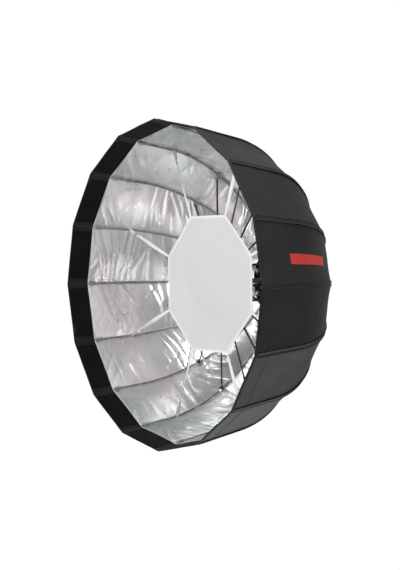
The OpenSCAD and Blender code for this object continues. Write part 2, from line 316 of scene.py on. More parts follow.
brightSteel = metalMaterial("brightSteel", (0.48, 0.48, 0.49), (0.62, 0.62, 0.62), 0.28)
postMetal = metalMaterial("postMetal", (0.03, 0.03, 0.031), (0.055, 0.055, 0.056), 0.3, 0.8,
                          wear=(0.3, 0.3, 0.3))
gunSteel = metalMaterial("gunSteel", (0.30, 0.30, 0.305), (0.42, 0.42, 0.425), 0.30, 0.95)
blackLacquer = metalMaterial("blackLacquer", (0.010, 0.010, 0.011), (0.022, 0.022, 0.023), 0.36, 0.35,
                             wear=(0.2, 0.2, 0.2))
blackPlastic = metalMaterial("blackPlastic", (0.012, 0.012, 0.0125), (0.022, 0.022, 0.022), 0.48, 0.0, 320)
print("materials made")

# the canopy's shape
canopy = {
    "ribs": 16,
    "rootLength": 22 * mm,
    "straightRun": 190 * mm,
    "lipWidth": 75 * mm,
    "leanDegrees": 9.7,
    "linerOffset": 6.0 * mm,      # from a rod's middle out to the liner's face
    "shellOffset": 7.6 * mm,      # from a rod's middle out to the outside
    "linerThick": 0.3 * mm,
    "shellThick": 0.5 * mm,
    "hollow": 0.011,              # how far a panel dips between ribs, as a share of its radius
    "rimHollow": 0.003,           # the same at the rim, where the binding holds it straight
    "bands": [0.0, 0.09, 0.18, 0.27, 0.36, 0.45, 0.54],  # where the cloth is cut along a rib, in metres from its root
    "linerColumns": 20,           # for half a panel
    "linerRow": 3.4 * mm,
    "shellColumns": 12,
    "shellRow": 8.0 * mm,
    "foldHeight": 4.2 * mm,       # the liner's broad folds from rib to rib
    "fineHeight": 1.2 * mm,
    "slantHeight": 3.6 * mm,
    "swellHeight": 2.4 * mm,
    "puckerHeight": 0.8 * mm,     # beside the rib seams
    "shellSlow": 1.3 * mm,
    "shellFold": 1.0 * mm,
    "shellStand": 2.1 * mm,       # how far the shell stands out on average
    "shellPucker": 0.6 * mm,
    "softEdge": 0.25 * mm,        # how softly liner and shell are kept on their own sides
    "easeRun": 0.12,              # over which the hollow fades toward the lip, in metres
    "seed": 7,
}
ribJoint = {j["child"]: j for j in frame["joints"] if j["name"].startswith("rib_fold")}
ribCount = canopy["ribs"]
ribStep = 2 * math.pi / ribCount
firstHinge = (ribJoint["rib_01"]["origin_m"] if "origin_m" in ribJoint["rib_01"] else ribJoint["rib_01"]["pos_m"])
hingeR = math.hypot(firstHinge[0], firstHinge[2])
hingeY = firstHinge[1]
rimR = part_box("gore_01")[1].x
lean = math.radians(canopy["leanDegrees"])
bendX = hingeR + canopy["rootLength"]
bendR = (rimR - bendX - canopy["straightRun"] * math.sin(lean)) / math.cos(lean) - canopy["shellOffset"]
bendLength = bendR * (math.pi / 2 - lean)
rimS = bendLength + canopy["straightRun"]      # run along a rod, from its bend's start to the rim
lipS = rimS - canopy["lipWidth"]
bandEdges = canopy["bands"] + [lipS]


def ribName(i):
    return "rib_%02d" % (i % ribCount + 1)


def sectionPoint(s, off):
    # distance from the axis, and depth in front of the hinges, at run s and offset off outwards
    s = np.asarray(s, float)
    a = np.clip(s, 0, bendLength) / bendR
    past = np.clip(s - bendLength, 0, None)
    before = np.clip(s, None, 0)
    r = bendX + (bendR + off) * np.sin(a) + past * math.sin(lean) + before
    depth = bendR - (bendR + off) * np.cos(a) + past * math.cos(lean)
    return r, depth


backward = np.array([0.0, 1.0, 0.0])


def radial(angle):
    return np.array([math.cos(angle), 0.0, math.sin(angle)])


def ribAxes(i):
    # outwards along a rib, and across it
    angle = i * ribStep
    return radial(angle), np.array([-math.sin(angle), 0.0, math.cos(angle)])


def ribPoint(i, r, depth, side=0.0):
    # a place from a rib's own radius, depth and sideways distance
    out, across = ribAxes(i)
    r, depth, side = np.broadcast_arrays(np.asarray(r, float), np.asarray(depth, float),
                                         np.asarray(side, float))
    return r[..., None] * out + side[..., None] * across + (hingeY - depth)[...,
            None] * np.array([0.0, 1.0, 0.0])


def latticeNoise(rng, x, y):
    # smooth noise from -1 to 1 on a random lattice one unit apart
    x, y = x - x.min(), y - y.min()
    table = rng.uniform(-1, 1, (int(x.max()) + 3, int(y.max()) + 3))
    xi, yi = x.astype(int), y.astype(int)
    fx, fy = x - xi, y - yi
    fx, fy = fx ** 3 * (fx * (6 * fx - 15) + 10), fy ** 3 * (fy * (6 * fy - 15) + 10)
    low = table[xi, yi] * (1 - fx) + table[xi + 1, yi] * fx
    high = table[xi, yi + 1] * (1 - fx) + table[xi + 1, yi + 1] * fx
    return low * (1 - fy) + high * fy


def panelGrid(columns, rows, offset, relief):
    # the whole cloth as sixteen panels: places and normals, [panel, row, column]
    u = np.linspace(0, 1, 2 * columns + 1)
    r, depth = sectionPoint(rows, offset)
    places = np.zeros((ribCount, len(rows), len(u), 3))
    for p in range(ribCount):
        start, end = ribPoint(p, r, depth), ribPoint(p + 1, r, depth)
        flat = start[:, None, :] * (1 - u)[None, :, None] + end[:, None, :] * u[None, :, None]
        dr, dd = sectionPoint(rows + 1e-4, offset)[0] - r, sectionPoint(rows + 1e-4, offset)[1] - depth
        inR, inD = -dd / np.hypot(dr, dd), dr / np.hypot(dr, dd)
        mid = radial((p + 0.5) * ribStep)
        inward = inR[:, None] * mid + inD[:, None] * np.array([0.0, -1.0, 0.0])
        ease = np.clip((rows - (lipS - canopy["easeRun"])) / canopy["easeRun"], 0, 1)
        hollow = canopy["hollow"] + (canopy["rimHollow"] - canopy["hollow"]) * ease * ease * (3 - 2 * ease)
        dip = (hollow * r)[:, None] * 4 * (u * (1 - u))[None, :]
        places[p] = flat + inward[:, None, :] * (dip + relief(p, u, rows, r))[:, :, None]
    alongS = np.gradient(places, rows, axis=1)
    acrossU = np.gradient(places, u, axis=2)
    normals = np.cross(alongS, acrossU)
    normals /= np.linalg.norm(normals, axis=3, keepdims=True)
    middle = places.mean(axis=(0, 1, 2))
    outwards = (places - middle) * normals
    if outwards.sum() < 0:
        normals = -normals
    return places, normals


def rowsBetween(start, end, step):
    count = max(2, int(round((end - start) / step)) + 1)
    return np.linspace(start, end, count)


def allRows(edges, step):
    parts = [rowsBetween(a, b, step)[:-1] for a, b in zip(edges[:-1], edges[1:])]
    return np.concatenate(parts + [np.array([edges[-1]])])


def meshObject(name, verts, faces, material, uvs=None, cornerNormals=None):
    mesh = bpy.data.meshes.new(name)
    mesh.from_pydata([tuple(v) for v in np.asarray(verts, float)], [], [tuple(f) for f in faces])
    mesh.materials.append(material)
    if uvs is not None:
        layer = mesh.uv_layers.new(name="cloth")
        corners = np.empty(len(mesh.loops), np.int32)
        mesh.loops.foreach_get("vertex_index", corners)
        layer.data.foreach_set("uv", np.asarray(uvs, np.float32)[corners].ravel())
    mesh.polygons.foreach_set("use_smooth", np.ones(len(mesh.polygons), bool))
    mesh.update()
    if cornerNormals is not None:
        mesh.normals_split_custom_set([tuple(n) for n in cornerNormals])
    obj = bpy.data.objects.new(name, mesh)
    root.objects.link(obj)
    return obj


def joinedNormals(normals, split):
    # one normal at the rib's own column, halfway between its two
    atRib = 0.5 * (normals[:, split:split + 1] + normals[:, split + 1:split + 2])
    joined = np.concatenate([normals[:, :split], atRib, normals[:, split + 2:]], axis=1)
    return joined / np.linalg.norm(joined, axis=2, keepdims=True)


def closedSheet(name, places, normals, split, thick, material, uv):
    # places is [row, column]; split is the column at a rib, whose normals come twice, once for each side
    rows, columns = places.shape[:2]
    meanNormal = joinedNormals(normals, split)
    inner = places - meanNormal * thick
    verts = np.concatenate([places.reshape(-1, 3), inner.reshape(-1, 3)])
    count = rows * columns
    grid = np.arange(count).reshape(rows, columns)
    a, b, c, d = grid[:-1, :-1], grid[:-1, 1:], grid[1:, 1:], grid[1:, :-1]
    outerFaces = np.stack([a, b, c, d], axis=-1).reshape(-1, 4)
    v0, v1, v3 = verts[outerFaces[0, 0]], verts[outerFaces[0, 1]], verts[outerFaces[0, 3]]
    if np.dot(np.cross(v1 - v0, v3 - v0), meanNormal[0, 0]) < 0:
        outerFaces = outerFaces[:, ::-1]
    innerFaces = outerFaces[:, ::-1] + count
    columnOfFace = np.tile(np.arange(columns - 1), rows - 1)
    shift = (columnOfFace >= split).astype(int)

    def cornersOf(faces, sign):
        rowOf, columnOf = (faces % count) // columns, (faces % count) % columns
        return sign * normals[rowOf, columnOf + shift[:, None]]

    outerNormals, innerNormals = cornersOf(outerFaces, 1), cornersOf(innerFaces, -1)
    ring = np.concatenate([grid[0, :], grid[1:, -1], grid[-1, -2::-1], grid[-2:0:-1, 0]])
    nextRing = np.roll(ring, -1)
    walls = np.stack([ring, nextRing, nextRing + count, ring + count], axis=-1)
    edgeUse = set()
    for f in outerFaces:
        for k in range(4):
            edgeUse.add((int(f[k]), int(f[(k + 1) % 4])))
    if (int(ring[0]), int(ring[1])) in edgeUse:
        walls = walls[:, ::-1]
    wallNormal = np.cross(verts[walls[:, 1]] - verts[walls[:, 0]], verts[walls[:, 3]] - verts[walls[:, 0]])
    wallNormal /= np.maximum(np.linalg.norm(wallNormal, axis=1, keepdims=True), 1e-12)
    faces = np.concatenate([outerFaces, innerFaces, walls])
    cornerNormals = np.concatenate([outerNormals.reshape(-1, 3), innerNormals.reshape(-1, 3),
                                    np.repeat(wallNormal, 4, axis=0)])
    uvs = np.concatenate([uv.reshape(-1, 2), uv.reshape(-1, 2)])
    return meshObject(name, verts, faces, material, uvs, cornerNormals)


def goreOf(places, normals, i, rowSlice):
    # the half panels on both sides of rib i
    columns = places.shape[2] // 2
    before, after = (i - 1) % ribCount, i
    left, right = places[before, rowSlice, columns:], places[after, rowSlice, :columns + 1]
    leftN, rightN = normals[before, rowSlice, columns:], normals[after, rowSlice, :columns + 1]
    return np.concatenate([left, right[:, 1:]], axis=1), np.concatenate([leftN, rightN], axis=1), columns


def clothUv(places, rows, split):
    steps = np.linalg.norm(np.diff(places, axis=1), axis=2)
    across = np.concatenate([np.zeros((len(rows), 1)), np.cumsum(steps, axis=1)], axis=1)
    across -= across[:, split:split + 1]
    return np.stack([across, np.repeat(rows[:, None], places.shape[1], axis=1)], axis=-1)


def followRib(piece, i):
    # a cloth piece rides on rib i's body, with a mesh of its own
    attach(piece, ribName(i))
    tuple(ribPoint(i, hingeR, 0.0))
    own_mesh(piece)


panelShift = 0.2    # keeps the run across a panel above zero


def ridge(value, width):
    return np.exp(-(value / width) ** 2)


def panelRuns(u, rows, r, nearRun):
    # metres across and along a panel, how near the ribs and how near its middle a place is
    chord = 2 * r * math.sin(ribStep / 2)
    x = (u[None, :] - 0.5) * chord[:, None] + panelShift
    s = rows[:, None] + np.zeros_like(x)
    near = np.exp(-np.minimum(u, 1 - u)[None, :] * chord[:, None] / nearRun)
    return x, s, near, (4 * u * (1 - u))[None, :]


def linerRelief(p, u, rows, r):
    rng = np.random.default_rng(canopy["seed"] * 100 + p)
    x, s, near, middle = panelRuns(u, rows, r, 0.016)
    drift = 0.010 * latticeNoise(rng, x / 0.12, s / 0.12)
    leaning = 0.45 * (x - panelShift) * latticeNoise(rng, x * 0 + 0.3, s / 0.16)
    broad = ridge(latticeNoise(rng, x / 0.30, (s + drift + leaning) / 0.024), 0.30)
    narrow = ridge(latticeNoise(rng, x / 0.16, (s + drift + leaning) / 0.013), 0.35)
    slant = 0.7 * (x - panelShift) * np.sign(rng.uniform(-1, 1))
    folds = ridge(latticeNoise(rng, x / 0.22, (s + slant) / 0.034), 0.26)
    soft = latticeNoise(rng, x / 0.045, s / 0.032)
    pucker = 0.5 + 0.5 * latticeNoise(rng, x / 0.05, s / 0.009)
    swell = latticeNoise(rng, x / 0.10, s / 0.10)
    patches = np.clip(0.8 + 0.7 * latticeNoise(rng, x / 0.25, s / 0.14), 0.35, 1.25)
    other = np.clip(0.4 - 0.9 * latticeNoise(rng, x / 0.16, s / 0.12), 0.0, 1.0)
    gathered = np.clip(1.35 - rows / 0.55, 0.5, 1.0)[:, None]
    relief = gathered * patches * (canopy["foldHeight"] * broad + canopy["fineHeight"] * narrow)
    relief = relief + canopy["slantHeight"] * other * folds
    relief = relief + 0.3 * mm * (soft + 1)
    relief = relief * (0.55 + 0.45 * np.sqrt(middle)) * (1 - 0.45 * near)
    relief = relief + canopy["puckerHeight"] * pucker * near
    relief = relief + canopy["swellHeight"] * middle * (0.5 + 0.5 * swell)
    # never behind its own plane, where the shell lies
    return 0.5 * (relief + np.sqrt(relief ** 2 + canopy["softEdge"] ** 2))


def shellRelief(p, u, rows, r):
    rng = np.random.default_rng(canopy["seed"] * 900 + p)
    x, s, near, middle = panelRuns(u, rows, r, 0.02)
    slow = latticeNoise(rng, x / 0.07, s / 0.16)
    folds = latticeNoise(rng, (x + s) / 0.06, (s - x) / 0.2)
    pucker = latticeNoise(rng, x / 0.05, s / 0.013)
    relief = (canopy["shellSlow"] * slow + canopy["shellFold"] * folds - canopy["shellStand"]) * middle
    relief = relief + canopy["shellPucker"] * (pucker - 1) * near
    # never inside its own plane, where the liner lies
    return 0.5 * (relief - np.sqrt(relief ** 2 + canopy["softEdge"] ** 2))


linerRows = allRows(bandEdges, canopy["linerRow"])
linerPlaces, linerNormals = panelGrid(canopy["linerColumns"], linerRows,
                                      canopy["linerOffset"] + canopy["linerThick"], linerRelief)
shellRows = allRows(bandEdges + [rimS], canopy["shellRow"])
shellPlaces, shellNormals = panelGrid(canopy["shellColumns"], shellRows, canopy["shellOffset"], shellRelief)


def cutCloth(kind, i, places, normals, rows, start, end, band, thick, material):
    first, last = int(np.argmin(abs(rows - start))), int(np.argmin(abs(rows - end)))
    part, partNormals, split = goreOf(places, normals, i, slice(first, last + 1))
    run = rows[first:last + 1]
    piece = closedSheet("%s_%02d_%d" % (kind, i + 1, band), part, partNormals, split, thick, material,
                        clothUv(part, run, split))
    followRib(piece, i)
    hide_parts("gore_%02d" % (i + 1))
    return piece


for i in range(ribCount):
    for band, (start, end) in enumerate(zip(bandEdges[:-1], bandEdges[1:])):
        cutCloth("liner", i, linerPlaces, linerNormals, linerRows, start, end, band + 1,
                 canopy["linerThick"], linerSilver)
    for band, (start, end) in enumerate(zip(bandEdges, bandEdges[1:] + [rimS])):
        cutCloth("shell", i, shellPlaces, shellNormals, shellRows, start, end, band + 1,
                 canopy["shellThick"], shellCloth)
print("canopy cut and hung")

# black lip inside the mouth
lip = {"offset": 6.9 * mm, "thick": 0.6 * mm, "row": 6.0 * mm, "columns": 12,
       "relief": 0.5 * mm, "dip": 0.25 * mm, "seed": 3000}


def lipRelief(p, u, rows, r):
    rng = np.random.default_rng(lip["seed"] + p)
    x, s, near, middle = panelRuns(u, rows, r, 0.02)
    return lip["relief"] * latticeNoise(rng, x / 0.05, s / 0.05) * middle + lip["dip"] * middle


lipRows = rowsBetween(lipS, rimS, lip["row"])
lipPlaces, lipNormals = panelGrid(lip["columns"], lipRows, lip["offset"], lipRelief)
for i in range(ribCount):
    cutCloth("lip", i, lipPlaces, lipNormals, lipRows, lipS, rimS, 1, lip["thick"], lipCloth)
print("lip made")

# helpers for tapes, wires and stitches
def sweep(name, centres, axisA, axisB, profile, material, ringClosed=False):
    # a closed tube or tape: profile points are (along A, along B), one set or one for each centre
    centres, axisA, axisB = (np.asarray(v, float) for v in (centres, axisA, axisB))
    profile = np.asarray(profile, float)
    n = len(centres)
    if profile.ndim == 2:
        profile = np.repeat(profile[None], n, axis=0)
    if axisA.ndim == 1:
        axisA = np.repeat(axisA[None], n, axis=0)
    if axisB.ndim == 1:
        axisB = np.repeat(axisB[None], n, axis=0)
    m = profile.shape[1]
    verts = centres[:, None, :] + profile[:, :, :1] * axisA[:, None, :] + profile[:, :, 1:] * axisB[:,
            None, :]
    grid = np.arange(n * m).reshape(n, m)
    rings = n if ringClosed else n - 1
    faces = []
    for k in range(rings):
        a, b = grid[k], grid[(k + 1) % n]
        for q in range(m):
            faces.append((a[q], a[(q + 1) % m], b[(q + 1) % m], b[q]))
    if not ringClosed:
        faces.append(tuple(grid[0][::-1]))
        faces.append(tuple(grid[-1]))
    along = np.concatenate([[0], np.cumsum(np.linalg.norm(np.diff(centres, axis=0), axis=1))])
    around = np.concatenate([[0], np.cumsum(np.linalg.norm(np.diff(profile[n // 2], axis=0), axis=1))])
    uvs = np.stack([np.tile(around, n), np.repeat(along, m)], axis=-1)
    obj = meshObject(name, verts.reshape(-1, 3), faces, material, uvs)
    fixNormals(obj)
    return obj


def fixNormals(obj, crease=40):
    work = bmesh.new()
    work.from_mesh(obj.data)
    bmesh.ops.recalc_face_normals(work, faces=work.faces)
    work.to_mesh(obj.data)
    work.free()
    obj.data.set_sharp_from_angle(angle=math.radians(crease))
    obj.data.update()


def joinPieces(name, objs):
    # several closed shells as one piece
    work = bmesh.new()
    for o in objs:
        work.from_mesh(o.data)
    mesh = objs[0].data.copy()
    work.to_mesh(mesh)
    work.free()
    for o in objs:
        bpy.data.objects.remove(o)
    mesh.name = name
    obj = bpy.data.objects.new(name, mesh)
    root.objects.link(obj)
    return obj


def roundedStrip(width, thick, side=3):
    # the outline of a flat tape with rounded edges, across A and thick along B
    points = []
    for sign in (1, -1):
        for k in range(side + 1):
            a = math.pi / 2 - math.pi * k / side
            points.append((sign * (width / 2 - thick / 2 + thick / 2 * math.cos(a)),
                           sign * thick / 2 * math.sin(a)))
    return points


def circleOutline(radius, count=8):
    return [(radius * math.cos(2 * math.pi * k / count), radius * math.sin(2 * math.pi * k / count))
            for k in range(count)]


def newTree(name, sizes):
    tree = bpy.data.node_groups.new(name, "GeometryNodeTree")
    tree.interface.new_socket("Geometry", in_out="INPUT", socket_type="NodeSocketGeometry")
    for label, kind in sizes:
        tree.interface.new_socket(label, in_out="INPUT", socket_type=kind)
    tree.interface.new_socket("Geometry", in_out="OUTPUT", socket_type="NodeSocketGeometry")
    return tree, tree.nodes.new("NodeGroupInput"), tree.nodes.new("NodeGroupOutput")


def stitchTree():
    # a row of thread stitches along a line
    tree, given, result = newTree("stitchRow", [("Pitch", "NodeSocketFloat"), ("Stitch", "NodeSocketFloat"),
                                                ("Thread", "NodeSocketFloat"), ("Seed", "NodeSocketInt"),
                                                ("Material", "NodeSocketMaterial")])
    nodes, links = tree.nodes, tree.links
    toCurve = nodes.new("GeometryNodeMeshToCurve")
    even = nodes.new("GeometryNodeResampleCurve")
    even.mode = "LENGTH"
    thread = nodes.new("GeometryNodeMeshCylinder")
    thread.inputs["Vertices"].default_value = 5
    half = nodes.new("ShaderNodeMath")
    half.operation = "MULTIPLY"
    half.inputs[1].default_value = 0.5
    tangent = nodes.new("GeometryNodeInputTangent")
    aim = nodes.new("FunctionNodeAlignRotationToVector")
    aim.axis = "Z"
    place = nodes.new("GeometryNodeInstanceOnPoints")
    vary = nodes.new("FunctionNodeRandomValue")
    vary.data_type = "FLOAT"
    vary.inputs[2].default_value = 0.85
    vary.inputs[3].default_value = 1.1
    real = nodes.new("GeometryNodeRealizeInstances")
    paint = nodes.new("GeometryNodeSetMaterial")
    links.new(given.outputs["Geometry"], toCurve.inputs[0])
    links.new(toCurve.outputs[0], even.inputs["Curve"])
    links.new(given.outputs["Pitch"], even.inputs["Length"])
    links.new(given.outputs["Thread"], half.inputs[0])
    links.new(half.outputs[0], thread.inputs["Radius"])
    links.new(given.outputs["Stitch"], thread.inputs["Depth"])
    links.new(given.outputs["Seed"], vary.inputs["Seed"])
    links.new(tangent.outputs[0], aim.inputs["Vector"])
    links.new(even.outputs[0], place.inputs["Points"])
    links.new(thread.outputs["Mesh"], place.inputs["Instance"])
    links.new(aim.outputs[0], place.inputs["Rotation"])
    links.new(vary.outputs[1], place.inputs["Scale"])
    links.new(place.outputs[0], real.inputs[0])
    links.new(real.outputs[0], paint.inputs["Geometry"])
    links.new(given.outputs["Material"], paint.inputs["Material"])
    links.new(paint.outputs[0], result.inputs[0])
    return tree


def sleeveTree():
    # a low arched sleeve along a line that lies in the plane of X and Y
    tree, given, result = newTree("ribSleeve", [("Width", "NodeSocketFloat"), ("Rise", "NodeSocketFloat"),
                                                ("Sink", "NodeSocketFloat"), ("Droop", "NodeSocketFloat"),
                                                ("Material", "NodeSocketMaterial")])
    nodes, links = tree.nodes, tree.links

    def work(operation, *values):
        return calc(nodes, links, operation, *values)

    toCurve = nodes.new("GeometryNodeMeshToCurve")
    upright = nodes.new("GeometryNodeSetCurveNormal")
    upright.mode = "Z_UP"
    outline = nodes.new("GeometryNodeCurvePrimitiveCircle")
    outline.inputs["Resolution"].default_value = 14
    outline.inputs["Radius"].default_value = 1.0
    where = nodes.new("GeometryNodeInputPosition")
    split = nodes.new("ShaderNodeSeparateXYZ")
    build = nodes.new("ShaderNodeCombineXYZ")
    shape = nodes.new("GeometryNodeSetPosition")
    sweepIt = nodes.new("GeometryNodeCurveToMesh")
    sweepIt.inputs["Fill Caps"].default_value = True
    paint = nodes.new("GeometryNodeSetMaterial")
    links.new(where.outputs[0], split.inputs[0])
    height = work("MULTIPLY", split.outputs[0], given.outputs["Rise"])
    under = work("MULTIPLY", given.outputs["Sink"], -1.0)
    bend = work("MULTIPLY", work("MULTIPLY", split.outputs[1], split.outputs[1]), given.outputs["Droop"])
    arched = work("SUBTRACT", work("MAXIMUM", height, under), bend)
    links.new(arched, build.inputs[0])
    halfWide = work("MULTIPLY", work("MULTIPLY", split.outputs[1], given.outputs["Width"]), 0.5)
    links.new(halfWide, build.inputs[1])
    links.new(outline.outputs[0], shape.inputs["Geometry"])
    links.new(build.outputs[0], shape.inputs["Position"])
    links.new(given.outputs["Geometry"], toCurve.inputs[0])
    links.new(toCurve.outputs[0], upright.inputs[0])
    links.new(upright.outputs[0], sweepIt.inputs["Curve"])
    links.new(shape.outputs[0], sweepIt.inputs["Profile Curve"])
    links.new(sweepIt.outputs[0], paint.inputs["Geometry"])
    links.new(given.outputs["Material"], paint.inputs["Material"])
    links.new(paint.outputs[0], result.inputs[0])
    return tree


def runTree(name, lines, tree, values):
    # the tree's result on polylines, as a plain mesh
    verts, edges = [], []
    for line in lines:
        first = len(verts)
        verts += [tuple(p) for p in line]
        edges += [(first + k, first + k + 1) for k in range(len(line) - 1)]
    mesh = bpy.data.meshes.new(name + "Line")
    mesh.from_pydata(verts, edges, [])
    source = bpy.data.objects.new(name + "Line", mesh)
    root.objects.link(source)
    mod = source.modifiers.new("build", "NODES")
    mod.node_group = tree
    for item in tree.interface.items_tree:
        if item.in_out == "INPUT" and item.name in values:
            mod[item.identifier] = values[item.name]
    solid = bpy.data.meshes.new_from_object(source.evaluated_get(bpy.context.evaluated_depsgraph_get()))
    bpy.data.objects.remove(source)
    solid.name = name
    obj = bpy.data.objects.new(name, solid)
    root.objects.link(obj)
    return obj


def turnedCopy(obj, name, i):
    # the same piece round to rib i
    mesh = obj.data.copy()
    angle = i * ribStep
    mesh.transform(Matrix(((math.cos(angle), 0, -math.sin(angle), 0), (0, 1, 0, 0),
                           (math.sin(angle), 0, math.cos(angle), 0), (0, 0, 0, 1))))
    mesh.name = name
    copy = bpy.data.objects.new(name, mesh)
    root.objects.link(copy)
    return copy


stitchRow = stitchTree()
ribSleeve = sleeveTree()


def sew(name, lines, sizes, seed, thread):
    values = {"Pitch": sizes["stitchPitch"], "Stitch": sizes["stitch"], "Thread": sizes["thread"]}
    return runTree(name, lines, stitchRow, {**values, "Seed": seed, "Material": thread})



# sleeves over the ribs, outside
sleeve = {"width": 15 * mm, "rise": 3.4 * mm, "sink": 0.3 * mm, "droop": 1.9 * mm, "start": 0.014,
          "end": 12 * mm, "step": 9 * mm,
          "stitchPitch": 5.2 * mm, "stitch": 3.4 * mm, "thread": 0.6 * mm, "stitchSide": 8.6 * mm,
          "stitchSink": 1.7 * mm, "stitchLift": 0.35 * mm, "lift": 0.3 * mm}
sleeveRuns = rowsBetween(sleeve["start"], rimS - sleeve["end"], sleeve["step"])
sleeveR, sleeveDepth = sectionPoint(sleeveRuns, canopy["shellOffset"])
swell = 0.25 * mm * np.sin(sleeveRuns * 150) + 0.2 * mm * np.sin(sleeveRuns * 61 + 1)
line = ribPoint(0, sleeveR + sleeve["lift"], sleeveDepth, swell)
firstSleeve = runTree("firstSleeve", [line], ribSleeve, {
    "Width": sleeve["width"], "Rise": sleeve["rise"], "Sink": sleeve["sink"],
    "Droop": sleeve["droop"], "Material": shellCloth,
})
fixNormals(firstSleeve)
stitchPlaces = sectionPoint(sleeveRuns[1:-1],
                            canopy["shellOffset"] - sleeve["stitchSink"] + sleeve["stitchLift"])
stitchLines = [ribPoint(0, *stitchPlaces, side) for side in (-sleeve["stitchSide"], sleeve["stitchSide"])]
firstStitches = sew("firstStitches", stitchLines, sleeve, 4, blackThread)
for i in range(ribCount):
    for first, kind in ((firstSleeve, "ribSleeve"), (firstStitches, "sleeveStitches")):
        piece = turnedCopy(first, "%s_%02d" % (kind, i + 1), i)
        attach(piece, ribName(i))
for first in (firstSleeve, firstStitches):
    bpy.data.objects.remove(first)
print("rib sleeves sewn")

# rim binding, lip corners and lip edge
binding = {"width": 13 * mm, "thick": 3.4 * mm, "stitchPitch": 4.6 * mm, "stitch": 3.0 * mm,
           "thread": 0.55 * mm,
           "cornerColumns": 2, "cornerThick": 0.9 * mm, "edgeWidth": 3.4 * mm, "edgeThick": 1.1 * mm,
           "seamWidth": 8 * mm, "seamThick": 1.0 * mm, "seamLift": 0.15 * mm, "seamThread": 0.45 * mm,
           "sink": 0.65 * mm, "overhang": 1.2 * mm, "stitchIn": 2.2 * mm, "edgeGap": 0.5 * mm,
           "cornerGap": 0.1 * mm}


def edgeLine(places, normals, row, i):
    # the line across a gore along one row, with the directions out of the cloth and along the rib
    first = max(row - 1, 0)
    part, partNormals, split = goreOf(places, normals, i, slice(first, first + 2))
    line, out = part[row - first], joinedNormals(partNormals, split)[row - first]
    along = part[1] - part[0]
    along /= np.linalg.norm(along, axis=1, keepdims=True)
    return line, out, along


seamRow = int(np.argmin(abs(shellRows - lipS))) + 1
for i in range(ribCount):
    line, out, along = edgeLine(shellPlaces, shellNormals, len(shellRows) - 1, i)
    middle = line - out * binding["sink"] - along * (binding["width"] / 2 - binding["overhang"])
    outline = roundedStrip(binding["width"], binding["thick"])
    tape = sweep("rimBinding_%02d" % (i + 1), middle, along, out, outline, bindingTape)
    lines = [middle + out * side - along * (binding["width"] / 2 - binding["stitchIn"])
             for side in (binding["thick"] / 2, -binding["thick"] / 2)]
    stitches = sew("rimStitches_%02d" % (i + 1), lines, binding, i, blackThread)
    line, out, along = edgeLine(lipPlaces, lipNormals, 0, i)
    outline = roundedStrip(binding["edgeWidth"], binding["edgeThick"], 2)
    edge = sweep("lipEdge_%02d" % (i + 1), line - out * (lip["thick"] + binding["edgeGap"]), along, out,
                 outline, whiteThread)
    # a patch over the rib's end at the corner of the lip
    part, partNormals, split = goreOf(lipPlaces, lipNormals, i, slice(1, None))
    reach = binding["cornerColumns"]
    cornerNormals = partNormals[:, split - reach:split + reach + 2]
    gap = lip["thick"] + binding["cornerGap"]
    lowered = part[:, split - reach:split + reach + 1] - gap * np.delete(cornerNormals, reach, axis=1)
    corner = closedSheet("lipCorner_%02d" % (i + 1), lowered, cornerNormals, reach, binding["cornerThick"],
                         bindingTape, clothUv(lowered, lipRows[1:], reach))
    # the lip's seam comes through to the outside as a flat fold with two rows of thread
    line, out, along = edgeLine(shellPlaces, shellNormals, seamRow, i)
    outline = roundedStrip(binding["seamWidth"], binding["seamThick"], 2)
    fold = sweep("shellSeam_%02d" % (i + 1), line + out * binding["seamLift"], along, out, outline,
                 shellCloth)
    lines = [line + out * (binding["seamLift"] + binding["seamThick"] / 2) + along * side
             for side in (-binding["seamWidth"] * 0.36, binding["seamWidth"] * 0.36)]
    seamThread = sew("shellSeamStitches_%02d" % (i + 1), lines,
                     {**binding, "thread": binding["seamThread"]},
                     i + 40, blackThread)
    for piece, s in ((tape, rimS - 0.01), (stitches, rimS - 0.01), (edge, lipS), (corner, lipS),
                     (fold, lipS), (seamThread, lipS)):
        followRib(piece, i)
print("rim bound")

# collar between the hub and the canopy
collar = {"innerR": 0.1035, "innerY": -0.0168, "thick": 1.0 * mm, "columns": 8, "rows": 6,
          "sag": 0.8 * mm, "overlap": 2.5 * mm}
rootR, rootDepth = sectionPoint(np.array([0.0]), canopy["shellOffset"] - 0.3 * mm)
rootY = hingeY - float(rootDepth[0])
steps = np.linspace(0, 1, collar["rows"])
collarR = collar["innerR"] + (float(rootR[0]) + collar["overlap"] - collar["innerR"]) * steps
collarY = collar["innerY"] + (rootY - collar["innerY"]) * steps ** 1.6
for i in range(ribCount):
    angles = (i + np.linspace(-0.5, 0.5, 2 * collar["columns"] + 1)) * ribStep
    away = np.abs(np.linspace(-1, 1, len(angles)))
    places = np.zeros((len(steps), len(angles), 3))
    for k, angle in enumerate(angles):
        flat = math.cos(ribStep / 2) / math.cos(ribStep / 2 - abs(angle - i * ribStep))
        radius = collarR * (1 + (flat - 1) * steps)
        y = collarY - collar["sag"] * away[k] * np.sin(steps * math.pi)
        places[:, k] = radius[:, None] * radial(angle) + y[:, None] * backward
    normals = np.cross(np.gradient(places, axis=0), np.gradient(places, axis=1))
    normals /= np.linalg.norm(normals, axis=2, keepdims=True)
    if normals[0, 0, 1] < 0:
        normals = -normals
    split = len(angles) // 2
    doubled = np.concatenate([normals[:, :split + 1], normals[:, split:]], axis=1)
    piece = closedSheet("collar_%02d" % (i + 1), places, doubled, split, collar["thick"], bindingTape,
                        clothUv(places, collarR, split))
    out = radial(i * ribStep)
    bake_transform(piece)
    width = float(np.linalg.norm(np.diff(places[-1], axis=0), axis=1).sum())
print("collar made")

